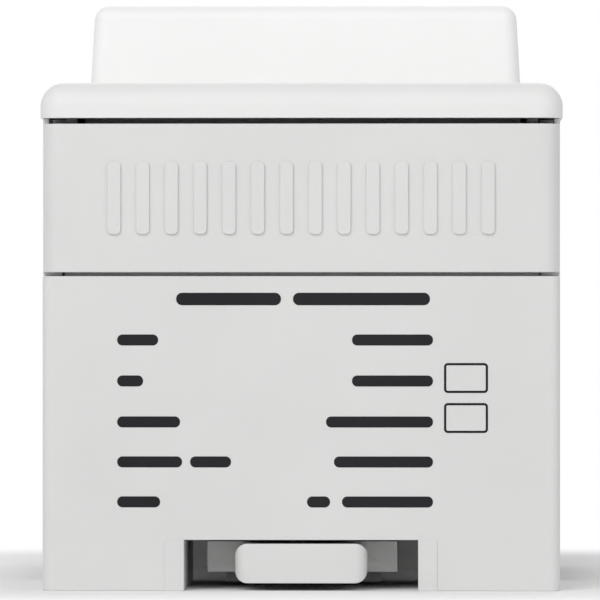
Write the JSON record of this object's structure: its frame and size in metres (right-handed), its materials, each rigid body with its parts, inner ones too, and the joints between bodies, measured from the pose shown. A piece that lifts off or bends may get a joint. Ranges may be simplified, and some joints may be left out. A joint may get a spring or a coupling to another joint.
{
  "type": "din rail surge arrester",
  "caption": "Modular surge arrester for a top hat rail: box housing with raised nose, lip, end guards, sprung rail clip, screw clamps, varistors, gas tube and trip flags.",
  "frame": {"origin": "middle of the back plane, at the bottom of the bounding box", "axes": "+X along the rail, +Y up the installed device, away from the clip's tab, +Z from back to front"},
  "size_m": [0.0546, 0.0906, 0.062],
  "materials": {
    "housing": "fine moulded texture",
    "cover": "fine moulded texture",
    "insulator": "moulded",
    "zinc_steel": "zinc plated",
    "spring_steel": "drawn wire",
    "copper": "bare copper",
    "varistor": "epoxy coat",
    "tube_ceramic": "fired",
    "flag_green": "moulded",
    "fault_red": "moulded",
    "window_clear": "clear plastic"
  },
  "bodies": {
    "housing": {"base": "housing", "front_cover": "cover", "closed_guard": "housing", "terminal_guard": "housing", "clip_spring": "spring_steel", "terminal_block": "insulator", "carrier": "insulator", "neutral_bar": "copper", "earth_bar": "copper", "gas_tube": "tube_ceramic", "fault_backing": "fault_red", "varistor_1": "varistor", "varistor_2": "varistor", "varistor_3": "varistor", "phase_bar_1": "copper", "phase_bar_2": "copper", "phase_bar_3": "copper", "contact_arm_1": "copper", "contact_arm_2": "copper", "contact_arm_3": "copper", "trip_spring_1": "spring_steel", "trip_spring_2": "spring_steel", "trip_spring_3": "spring_steel", "window_1": "window_clear", "window_2": "window_clear", "window_3": "window_clear"},
    "clip": {"rail_clip": "housing"},
    "screw_1": {"terminal_screw_1": "zinc_steel"},
    "cage_1": {"terminal_cage_1": "zinc_steel"},
    "screw_2": {"terminal_screw_2": "zinc_steel"},
    "cage_2": {"terminal_cage_2": "zinc_steel"},
    "screw_3": {"terminal_screw_3": "zinc_steel"},
    "cage_3": {"terminal_cage_3": "zinc_steel"},
    "screw_4": {"terminal_screw_4": "zinc_steel"},
    "cage_4": {"terminal_cage_4": "zinc_steel"},
    "screw_5": {"terminal_screw_5": "zinc_steel"},
    "cage_5": {"terminal_cage_5": "zinc_steel"},
    "trip_1": {"trip_slider_1": "flag_green"},
    "trip_2": {"trip_slider_2": "flag_green"},
    "trip_3": {"trip_slider_3": "flag_green"}
  },
  "joints": [
    {"name": "clip_release", "type": "slide", "parent": "housing", "child": "clip", "axis": [0, -1, 0], "range_m": [0, 0.0045], "stiffness_N_per_m": 800, "springref_m": -0.002, "deforming": ["clip_spring"]},
    {"name": "screw_turn_1", "type": "hinge", "parent": "housing", "child": "screw_1", "pos_m": [-0.0194, 0.0343, 0.046], "axis": [0, 0, -1], "range_deg": [0, 2026]},
    {"name": "cage_lift_1", "type": "slide", "parent": "housing", "child": "cage_1", "axis": [0, 0, 1], "range_m": [0, 0.0045]},
    {"name": "screw_turn_2", "type": "hinge", "parent": "housing", "child": "screw_2", "pos_m": [-0.0097, 0.0343, 0.046], "axis": [0, 0, -1], "range_deg": [0, 2026]},
    {"name": "cage_lift_2", "type": "slide", "parent": "housing", "child": "cage_2", "axis": [0, 0, 1], "range_m": [0, 0.0045]},
    {"name": "screw_turn_3", "type": "hinge", "parent": "housing", "child": "screw_3", "pos_m": [0, 0.0343, 0.046], "axis": [0, 0, -1], "range_deg": [0, 2026]},
    {"name": "cage_lift_3", "type": "slide", "parent": "housing", "child": "cage_3", "axis": [0, 0, 1], "range_m": [0, 0.0045]},
    {"name": "screw_turn_4", "type": "hinge", "parent": "housing", "child": "screw_4", "pos_m": [0.0097, 0.0343, 0.046], "axis": [0, 0, -1], "range_deg": [0, 2026]},
    {"name": "cage_lift_4", "type": "slide", "parent": "housing", "child": "cage_4", "axis": [0, 0, 1], "range_m": [0, 0.0045]},
    {"name": "screw_turn_5", "type": "hinge", "parent": "housing", "child": "screw_5", "pos_m": [0.0194, 0.0343, 0.046], "axis": [0, 0, -1], "range_deg": [0, 2026]},
    {"name": "cage_lift_5", "type": "slide", "parent": "housing", "child": "cage_5", "axis": [0, 0, 1], "range_m": [0, 0.0045]},
    {"name": "trip_1", "type": "slide", "parent": "housing", "child": "trip_1", "axis": [0, -1, 0], "range_m": [0, 0.007], "deforming": ["trip_spring_1"]},
    {"name": "trip_2", "type": "slide", "parent": "housing", "child": "trip_2", "axis": [0, -1, 0], "range_m": [0, 0.007], "deforming": ["trip_spring_2"]},
    {"name": "trip_3", "type": "slide", "parent": "housing", "child": "trip_3", "axis": [0, -1, 0], "range_m": [0, 0.007], "deforming": ["trip_spring_3"]}
  ],
  "couplings": [
    {"joint": "screw_turn_1", "follows": "cage_lift_1", "rad_per_m": 7854},
    {"joint": "screw_turn_2", "follows": "cage_lift_2", "rad_per_m": 7854},
    {"joint": "screw_turn_3", "follows": "cage_lift_3", "rad_per_m": 7854},
    {"joint": "screw_turn_4", "follows": "cage_lift_4", "rad_per_m": 7854},
    {"joint": "screw_turn_5", "follows": "cage_lift_5", "rad_per_m": 7854}
  ]
}
